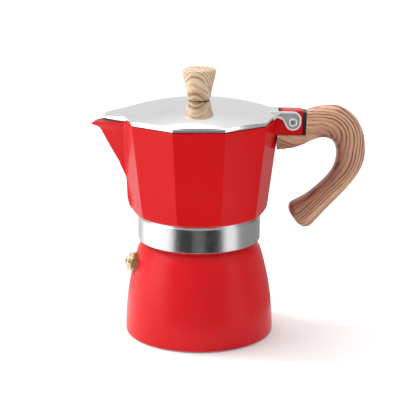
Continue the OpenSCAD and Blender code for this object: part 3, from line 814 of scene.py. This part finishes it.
def make_collector():
    wall_shares = [*np.linspace(0, 0.2, 34), *np.linspace(0.215, 0.97, 40), 0.985, 1.0]
    liner_shares = [1.0, 0.985, 0.96, *np.linspace(0.92, 0.03, 34)]
    bore, hole = COLLAR_BORE, 4.0
    rings = []
    for out_column, in_column in zip(wall_columns(0.0, VESSEL_LOW), wall_columns(WALL, VESSEL_FLOOR)):
        wall = []
        for x, y, z in column_points(out_column, wall_shares):
            r = math.hypot(x, y)
            limited = soft_min(r, foot_limit(z), 0.3) if z < 92 else r
            wall.append((x * limited / r, y * limited / r, z))
        liner = column_points(in_column, liner_shares)
        # the lip is rolled over from the wall's top to the liner's
        top, edge = np.array(wall[-1]), np.array(liner[0])
        across = edge - top
        lip = [top + across * 0.04 - (0, 0, 0.12), top + across * 0.16, top + across * 0.9,
               edge - across * 0.03 - (0, 0, 0.1)]
        wall[-1] = tuple(top - (0, 0, 0.35))
        wall[-2] = tuple(np.array(wall[-2]) - (0, 0, 0.2))
        liner[0] = tuple(edge - (0, 0, 0.3))
        x, y, _ = liner[-1]
        r = math.hypot(x, y)
        floor = on_ray(x, y, [
            (r - 0.15, VESSEL_FLOOR + 0.95), (r - 0.55, VESSEL_FLOOR + 0.4), (r - 1.2, VESSEL_FLOOR + 0.08),
            (r - 2.0, VESSEL_FLOOR), (30, VESSEL_FLOOR), (20, VESSEL_FLOOR), (10, VESSEL_FLOOR),
            (hole, VESSEL_FLOOR), (hole, (VESSEL_FLOOR + CEILING) / 2)])
        under = on_ray(*wall[0][:2], [
            (hole, CEILING), (16, CEILING), (bore - 0.4, CEILING), (bore, CEILING - 0.4),
            (bore, VESSEL_LOW + 0.3), (bore + 0.3, VESSEL_LOW)])
        rings.append(under + wall + [tuple(p) for p in lip] + liner + floor)
    vessel = grid("collector_vessel", rings, 50)
    low_corner, high_corner = 120.6, SPACER_HIGH[2] + 0.8
    face_x = SPACER_LOW[0]
    bracket = plate("bracket", [
        (43.2, low_corner, 0), (face_x, low_corner, 0.5), (face_x, high_corner, 0.9),
        (49.4, high_corner, 0.8), (48.4, high_corner - 1, 0.6), (48.4, RIM_Z - 0.3, 1.0),
        (45.0, RIM_Z - 0.3, 0)], -5, 5, 0.55)
    drill(bracket, PIN, PIN_R)
    cut(bracket, rod("screw_hole", (SCREW_X, 0, 119), (SCREW_X, 0, 125.4), 2.0))
    cut(vessel, bracket, operation="UNION")
    finish_piece(vessel, "collector", "collector_red", "collector")

    def is_bare(c, normal):
        r = math.hypot(c[0], c[1])
        inwards = normal[0] * c[0] + normal[1] * c[1] < -0.2 * r
        within = r < corner_r(c[2]) - 1 or c[0] < -SPOUT_ROOT
        liner = inwards and within and VESSEL_FLOOR < c[2] < RIM_Z - 0.15
        spout = c[0] < 4 - SPOUT_ROOT and normal[2] > 0.25 and 97 < c[2] < eased(LIP, -c[0]) - 0.8
        near_floor = VESSEL_FLOOR - 4 < c[2] < VESSEL_FLOOR + 3
        floor = r < corner_r(c[2]) * FLAT - WALL * 0.6 and near_floor
        below = r < bore + 0.2 and c[2] < VESSEL_FLOOR + 1
        return liner or spout or floor or below

    bare_metal(vessel, is_bare)


def make_column():
    top, window_top = 116.0, 119.4
    tube = lathe("coffee_column", [
        (3.2, CEILING + 0.2, 0), (4, CEILING + 0.2, 0), (4, VESSEL_FLOOR, 0), (9, VESSEL_FLOOR, 0),
        (9, VESSEL_FLOOR + 1, 0.6), (6.4, VESSEL_FLOOR + 3.2, 3), (4.6, top, 0.3), (3.2, top, 0.3)], 96)
    finish_piece(tube, "collector", "cast_aluminium", "column")
    low, high = span("column_cap")
    cap = lathe("column_cap_casting", [
        (0, 118.6, 0), (4.6, 118.6, 0.3), (4.6, top, 0), (5.2, top, 0.2), (5.2, low[2], 0.2),
        (6.6, low[2], 0.4), (6.6, high[2] - 2.2, 1.5), (4.4, high[2], 1.8), (0, high[2], 0)], 96)
    window = plate("window", [
        (-1.6, top + 0.4, 0.4), (1.6, top + 0.4, 0.4), (1.6, window_top, 1.2),
        (-1.6, window_top, 1.2)], -10, 10, 0)
    cut(cap, window)
    finish_piece(cap, "collector", "cast_aluminium", "column_cap")


# ---------------------------------------------------------------- lid
LID_FLAT_R = 6.4
LID_BULGE = 2.0
EAR_IN, EAR_OUT = 5.3, 6.9
TONGUE_TOP = 134.6
LID_TONGUE = [(40.0, 133.2), (44.0, 133.0), (53.0, 132.2), (55.2, 131.6), (57.0, 131.0)]


def lid_z(r):
    """Height of the lid's upper face at distance r from the axis."""
    start, end = LID_FLAT_R ** LID_BULGE, (RIM_R * FLAT) ** LID_BULGE
    share = (max(r, LID_FLAT_R) ** LID_BULGE - start) / (end - start)
    return LID_TOP - (LID_TOP - LID_EDGE) * share


def make_lid():
    half_tip = [(-42.4, 15.0, 3.0), (-53.6, 7.0, 2.0), (-55.2, 4.6, 1.2)]
    tip = half_tip + [(x, -y, radius) for x, y, radius in reversed(half_tip)]
    inner_r = RIM_R * FLAT - LID_T
    dome_in = min(inner_r - 0.2, 42.6)
    hole = 2.1
    shares = [0.04, 0.09, 0.135, *np.linspace(0.16, 0.955, 26), 0.975, 0.988]
    rings = []
    for x, y in rounded_ring(decagon(RIM_R - 0.05, 0.9) + tip):
        r = math.hypot(x, y)
        over_spout = x < -38 and abs(y) < 15.5

        def top_at(d):
            """Place on the upper face at distance d from the axis."""
            z, out = lid_z(d), -x / r * d
            if over_spout and out > 38:
                z = -soft_min(-z, -eased(LID_TONGUE, out), 0.25)
            return d, z

        edge_z = top_at(r)[1]
        top = [(hole, LID_TOP)] + [top_at(hole + (r - hole) * share) for share in shares]
        roll = [(r - 0.2, top_at(r - 0.2)[1] - 0.01), (r - 0.06, edge_z - 0.05), (r, edge_z - 0.2),
                (r, LID_GAP_Z + 0.25), (r - 0.1, LID_GAP_Z + 0.07), (r - 0.3, LID_GAP_Z)]
        below = [(inner_r, LID_GAP_Z), (dome_in, lid_z(inner_r) - LID_T)]
        below += [(inner_r * share, lid_z(inner_r * share) - LID_T) for share in np.linspace(0.93, 0.1, 16)]
        below.append((hole, LID_TOP - LID_T))
        rings.append(on_ray(x, y, top + roll + below))
    lid = grid("lid_shell", rings)
    gap = plate("bracket_gap", [
        (45.2, 125, 0), (60, 125, 0), (60, 140, 0), (45.2, 140, 0)], -EAR_IN, EAR_IN, 0)
    cut(lid, gap)
    rear = plate("rear_tongue", [
        (33, 132.6, 0), (44.4, 132.5, 0), (46.4, 132.5, 0.4), (46.4, TONGUE_TOP, 0.5),
        (36.5, TONGUE_TOP + 0.02, 2), (33, 135.0, 0)], -EAR_OUT, EAR_OUT, 0.4)
    cut(lid, rear, operation="UNION")
    for side in (-1, 1):
        cut(lid, make_ear(side), operation="UNION")
    drill(lid, PIN, LID_PIN_R)
    finish_piece(lid, "lid", "polished_aluminium", "lid")

    def is_sunk(c, normal):
        return c[0] > 44 and EAR_IN + 0.5 < abs(c[1]) < EAR_OUT - 0.1 and abs(normal[1]) > 0.9

    def is_rim(c, normal):
        return c[0] > 44 and abs(c[1]) > EAR_OUT - 0.5 and not is_sunk(c, normal)

    bare_metal(lid, is_sunk)
    bare_metal(lid, is_rim, "buffed_casting")


def ear_outline(inset):
    """Outline of a hinge ear: a strap from the lid that ends in a round boss about the pin."""
    px, pz = PIN[0], PIN[2]
    boss = 4.75 - inset
    top_r = 4.9 - inset
    top = arc(px, pz + 1.5, top_r, 90, 12, 8)
    bottom = arc(px, pz, boss, -8, -158, 14)
    neck = [(48.7 + inset * 0.5, 129.4 + inset, 0.8), (46.4 + inset, LID_GAP_Z + 0.1 + inset, 0.2)]
    start = [(41.0 + inset, LID_GAP_Z + 0.6 + inset, 0.2), (41.0 + inset, TONGUE_TOP - inset, 0.3)]
    return top + bottom + neck + start


def make_ear(side):
    """An ear with a raised border round a sunk field, and a boss round the pin's end."""
    face = EAR_OUT * side
    ear = plate("ear", ear_outline(0.0), *sorted((EAR_IN * side, face)), 0.18, 2)
    sunk = plate("sunk_field", ear_outline(0.95), *sorted((face - 0.45 * side, face + 2 * side)), 0)
    cut(ear, sunk)
    boss = lathe("pin_boss", [
        (0, -1.0, 0), (2.6, -1.0, 0), (2.5, 0.3, 0.15), (1.4, 0.3, 0), (0, 0.3, 0)], 40)
    for vertex in boss.data.vertices:
        x, y, z = vertex.co / MM
        depth = face - 0.3 * side + z * side
        vertex.co = Vector((PIN[0] + x, depth, PIN[2] + y * side)) * MM
    # the move above is a mirror image, which turned the faces inside out
    boss.data.flip_normals()
    cut(ear, boss, operation="UNION")
    return ear


def make_knob():
    top, low = KNOB_HIGH[2], KNOB_LOW[2]
    r = (KNOB_HIGH[0] - KNOB_LOW[0]) / 2
    knob = lathe("knob_grip", [
        (0, top, 0), (r - 2.5, top, 6), (r - 0.25, top - 0.6, 1.2), (r - 0.1, top - 2.6, 2),
        (8.7, low + 11, 20), (7.4, low + 5, 20), (6.45, low + 0.6, 0.4), (6.0, low + 0.15, 0.1),
        (3.5, low + 0.15, 0), (3.5, low + 9.5, 0), (0, low + 9.5, 0)], 128)
    clean(knob)
    crisp(knob)
    add_grain(knob, lambda p: knob_grain(p, low))
    finish_piece(knob, "lid", "knob_woodprint", "knob")
    # a thin dark ring between knob and lid, which is part of no CAD node: painted shadow in the gap between
    # them
    ring = lathe("knob_gap_painted_shadow", [
        (3.6, low, 0), (6.2, low, 0.1), (6.2, low + 0.35, 0.1), (3.6, low + 0.35, 0)], 96)
    finish_piece(ring, "lid", "dark_plate")


def add_grain(piece, along):
    """Stores where each point lies in the wood print, as along, across and deep, in metres."""
    data = piece.data
    stored = data.attributes.new("grain", "FLOAT_VECTOR", "POINT")
    values = np.array([along(vertex.co / MM) for vertex in data.vertices], dtype=np.float32) * MM
    stored.data.foreach_set("vector", values.ravel())


def knob_grain(p, low):
    """Cathedral arches: the print's lines are level sets of a bowed surface through the knob."""
    x, y, z = p[0], p[1], p[2] - low
    arch = z + 0.055 * (x + 2.0) ** 2 + 0.25 * x - 0.02 * y * y
    return (x * 0.6 + 0.4 * y, arch, y)


# ---------------------------------------------------------------- handle
# stations along the handle: top (x, z), bottom (x, z), half width, squareness above and below
TONGUE_STATIONS = [
    ((45.4, 120.5), (45.4, 111.0), 5.4, 0.25, 0.7),
    ((50.0, 120.5), (50.2, 111.3), 5.5, 0.25, 0.75),
    ((56.0, 120.5), (56.0, 112.4), 5.6, 0.25, 0.75),
    ((62.35, 120.5), (61.6, 114.5), 6.0, 0.3, 0.75),
]
GRIP_STATIONS = [
    ((62.45, 134.4), (61.8, 114.6), 6.2, 0.75, 0.75),
    ((68.0, 136.2), (66.2, 116.7), 7.0, 0.8, 0.75),
    ((74.3, 137.05), (70.2, 118.1), 7.8, 0.85, 0.8),
    ((80.8, 136.9), (73.8, 118.2), 8.2, 0.85, 0.85),
    ((87.0, 134.0), (76.7, 117.1), 8.4, 0.85, 0.85),
    ((92.2, 128.8), (78.7, 115.1), 8.5, 0.85, 0.85),
    ((95.9, 121.1), (79.9, 112.2), 8.5, 0.85, 0.85),
    ((97.2, 113.0), (80.3, 108.5), 8.5, 0.85, 0.85),
    ((96.7, 104.8), (79.8, 104.0), 8.5, 0.85, 0.85),
    ((93.7, 97.3), (78.0, 99.0), 8.4, 0.85, 0.85),
    ((88.3, 89.6), (74.6, 94.2), 8.2, 0.85, 0.85),
    ((82.0, 82.4), (69.6, 89.2), 8.0, 0.85, 0.85),
    ((75.7, 75.7), (63.8, 84.3), 7.8, 0.85, 0.85),
    ((70.4, 69.8), (58.9, 81.3), 7.7, 0.82, 0.8),
    ((66.6, 65.6), (55.6, 79.6), 7.6, 0.8, 0.78),
    ((64.2, 64.2), (53.7, 78.3), 7.4, 0.8, 0.78),
    ((61.6, 64.3), (52.9, 76.4), 6.8, 0.8, 0.8),
    ((59.0, 65.8), (53.0, 74.4), 5.6, 0.8, 0.8),
    ((57.4, 67.8), (53.8, 72.8), 3.6, 0.8, 0.8),
]


def stations_between(stations, per):
    """Catmull-Rom rows between stations, each a flat array of its numbers."""
    rows = np.array([[*top, *bottom, *rest] for top, bottom, *rest in stations])
    out = []
    for i in range(len(rows) - 1):
        a, b, c, d = rows[max(i - 1, 0)], rows[i], rows[i + 1], rows[min(i + 2, len(rows) - 1)]
        for k in range(per):
            t = k / per
            out.append(0.5 * (2 * b + (c - a) * t + (2 * a - 5 * b + 4 * c - d) * t ** 2
                              + (3 * b - a - 3 * c + d) * t ** 3))
    out.append(rows[-1])
    return out


def section(row, around=56):
    """A rounded section of the handle, between its top and bottom points."""
    top, bottom = np.array((row[0], 0, row[1])), np.array((row[2], 0, row[3]))
    centre, up = (top + bottom) / 2, (top - bottom) / 2
    ring = []
    for k in range(around):
        a = 2 * math.pi * (k + 0.5) / around
        c, s = math.cos(a), math.sin(a)
        power = row[5] if s > 0 else row[6]
        ring.append(centre + up * math.copysign(abs(s) ** power, s)
                    + np.array((0, row[4] * math.copysign(abs(c) ** power, c), 0)))
    return ring


# half the width that the print takes across the handle
GRAIN_HALF = 9.0
# how far the print's lines have drifted across the handle at a length along it
GRAIN_SLANT = [(0, 0.0), (16, 15.0), (26, 20.0), (60, 30.0), (90, 33.0), (140, 29.0)]


def make_handle():
    rows = stations_between(TONGUE_STATIONS, 6) + stations_between(GRIP_STATIONS, 7)
    rings = [section(row) for row in rows]
    around = len(rings[0])
    points = [p for ring in rings for p in ring]
    n = len(rings)
    faces = bands(n, around)
    for end, step in ((0, 1), (n - 1, -1)):
        order = [end * around + j for j in range(around)][::step]
        faces += [(order[j], order[j + 1], order[around - 2 - j], order[around - 1 - j])
                  for j in range(around // 2 - 1)]
    handle = mesh("handle_grip", points, faces, 50)
    cut(handle, rod("screw_way", (SCREW_X, 0, 100), (SCREW_X, 0, 130), 2.2),
        rod("counterbore", (SCREW_X, 0, 100), (SCREW_X, 0, 114.4), 3.7))
    lengths = [0.0]
    middles = [((row[0] + row[2]) / 2, (row[1] + row[3]) / 2) for row in rows]
    for first, second in zip(middles, middles[1:]):
        lengths.append(lengths[-1] + math.dist(first, second))
    line, lengths = np.array(middles), np.array(lengths)
    ups = np.array([((row[0] - row[2]) / 2, (row[1] - row[3]) / 2) for row in rows])

    def nearest(p):
        """A point seen from the side, and the number of the row nearest to it."""
        here = np.array((p[0], p[2]))
        return here, int(np.argmin(((line - here) ** 2).sum(axis=1)))

    def along(p):
        here, k = nearest(p)
        direction = line[min(k + 1, len(line) - 1)] - line[max(k - 1, 0)]
        direction = direction / max(np.linalg.norm(direction), 1e-6)
        s = lengths[k] + float((here - line[k]) @ direction)
        half = max(np.linalg.norm(ups[k]), 3.0)
        across = float((here - line[k]) @ ups[k]) / half * GRAIN_HALF / half
        slant = np.interp(s, *zip(*GRAIN_SLANT))
        return (s, across + slant, p[1])

    def lit_side_share(p):
        """From 0 on the handle's inner side to 1 on its outer side, for the print's painted shade."""
        here, k = nearest(p)
        return 0.5 + 0.5 * float((here - line[k]) @ ups[k]) / float(ups[k] @ ups[k])

    add_grain(handle, along)
    # the share "side" sets where the wood print paints shade, on the handle's inner side
    shares = handle.data.attributes.new("side", "FLOAT", "POINT")
    shares.data.foreach_set("value", [lit_side_share(vertex.co / MM) for vertex in handle.data.vertices])
    finish_piece(handle, "collector", "handle_woodprint", "handle")
    spacer = plate("spacer_plate", [
        (SPACER_LOW[0], SPACER_LOW[2], 0.3), (SPACER_HIGH[0], SPACER_LOW[2], 0.3),
        (SPACER_HIGH[0], SPACER_HIGH[2], 0.3), (SPACER_LOW[0], SPACER_HIGH[2], 0.3)],
        SPACER_LOW[1], SPACER_HIGH[1], 0.25)
    finish_piece(spacer, "collector", "dark_plate", "handle_spacer")


# ---------------------------------------------------------------- studio
def add_lamp(name, light, place, aim):
    lamp = bpy.data.objects.new(name, light)
    lamp.location = place
    lamp.rotation_euler = (Vector(aim) - Vector(place)).to_track_quat("-Z", "Y").to_euler()
    bpy.context.scene.collection.objects.link(lamp)


def make_studio():
    plain = Shader("studio_floor", Base_Color=(0.93, 0.93, 0.93, 1), Roughness=0.9, Specular_IOR_Level=0.1)
    bpy.ops.mesh.primitive_plane_add(size=24, location=(0, 0, 0))
    floor = bpy.context.object
    floor.name = "studio_floor"
    floor.data.materials.append(plain.material)

    # cards that only reflections see: name, grey, corners in metres
    cards = [
        ("card_front", 0.004,
         [(-0.85, -0.8, 0.0005), (0.78, -0.8, 0.0005), (0.09, -0.1, 0.0005), (-0.1, -0.1, 0.0005)]),
        ("card_middle", 0.13,
         [(-0.14, -0.8, 0.001), (0.14, -0.8, 0.001), (0.02, -0.1, 0.001), (-0.02, -0.1, 0.001)]),
        ("card_behind_camera", 0.14,
         [(-1.3, -1.3, 0.0), (1.3, -1.3, 0.0), (1.3, -1.3, 0.3), (-1.3, -1.3, 0.3)]),
        ("card_right", 0.25,
         [(0.113, -0.04, 0.0005), (1.14, -0.4, 0.0005), (0.4, 1.0, 0.0005), (0.03, 0.1, 0.0005)]),
        ("card_right_wall", 0.25,
         [(1.14, -0.4, 0.0), (0.7, 0.9, 0.0), (0.7, 0.9, 0.8), (1.14, -0.4, 0.8)]),
        ("card_left", 0.5,
         [(-0.03, 0.1, 0.0005), (-0.4, 1.0, 0.0005), (-0.9, 0.6, 0.0005), (-0.09, 0.06, 0.0005)]),
    ]
    for name, grey, corners in cards:
        card = mesh(name, [Vector(c) / MM for c in corners], [(0, 1, 2, 3)])
        matt = Shader(name, Base_Color=(grey, grey, grey, 1), Specular_IOR_Level=0.0)
        card.data.materials.append(matt.material)
        card.visible_camera = False
        card.visible_diffuse = False
        card.visible_shadow = False

    scene = bpy.context.scene
    world = bpy.data.worlds.new("studio")
    world.use_nodes = True
    nodes, links = world.node_tree.nodes, world.node_tree.links
    nodes["Background"].inputs[0].default_value = (1, 1, 1, 1)
    apart = nodes.new("ShaderNodeSeparateXYZ")
    links.new(nodes.new("ShaderNodeTexCoord").outputs["Generated"], apart.inputs[0])
    both = nodes.new("ShaderNodeMath")
    both.operation = "MULTIPLY"
    # a brighter ceiling, and a dimmer room behind the camera
    for slot, (axis, limits) in enumerate({"Z": (0.5, 0.8, 0.74, 0.98), "Y": (-0.8, 0.0, 0.74, 1.0)}.items()):
        fall = nodes.new("ShaderNodeMapRange")
        for socket, value in zip(("From Min", "From Max", "To Min", "To Max"), limits):
            fall.inputs[socket].default_value = value
        links.new(apart.outputs[axis], fall.inputs["Value"])
        links.new(fall.outputs["Result"], both.inputs[slot])
    links.new(both.outputs[0], nodes["Background"].inputs[1])
    scene.world = world
    lights = [
        ("softbox_left", (-0.95, -0.25, 0.35), (0, 0, 0.08), (0.7, 0.9), 4.4),
        ("softbox_right", (0.85, -0.45, 0.4), (0, 0, 0.09), (0.3, 0.8), 0.7),
        ("softbox_top", (-0.72, 0.26, 0.84), (0, 0, 0.05), (0.3, 0.3), 5.0),
    ]
    for name, place, aim, size, power in lights:
        light = bpy.data.lights.new(name, "AREA")
        light.shape = "RECTANGLE"
        light.size, light.size_y = size
        light.energy = power
        add_lamp(name, light, place, aim)
    overhead = bpy.data.lights.new("overhead", "SUN")
    overhead.energy = 1.2
    overhead.angle = math.radians(60)
    add_lamp("overhead", overhead, (-0.2, 0.3, 1.0), (0, 0, 0))

    lens = bpy.data.cameras.new("camera")
    lens.sensor_width = 36.0
    lens.lens = 128.83
    lens.shift_x = 0.0216
    lens.clip_start = 0.01
    camera = bpy.data.objects.new("camera", lens)
    camera.location = (0, -0.850, 0.31218)
    camera.rotation_euler = (math.radians(74.409), 0, 0)
    scene.collection.objects.link(camera)
    scene.camera = camera
    scene.view_settings.view_transform = "Standard"


def dress_cad_nodes():
    """Every CAD node that stays in view takes its slot's material."""
    for part in frame["record"]["subparts"]:
        node = frame["nodes"].get(part["node"]) if "node" in part else None
        if node is not None:
            node.data.materials.clear()
            node.data.materials.append(MATERIALS[part["material_slot"]])


make_boiler()
make_valve()
make_collar()
make_funnel()
make_plates()
make_collector()
make_column()
make_lid()
make_knob()
make_handle()
make_studio()
dress_cad_nodes()
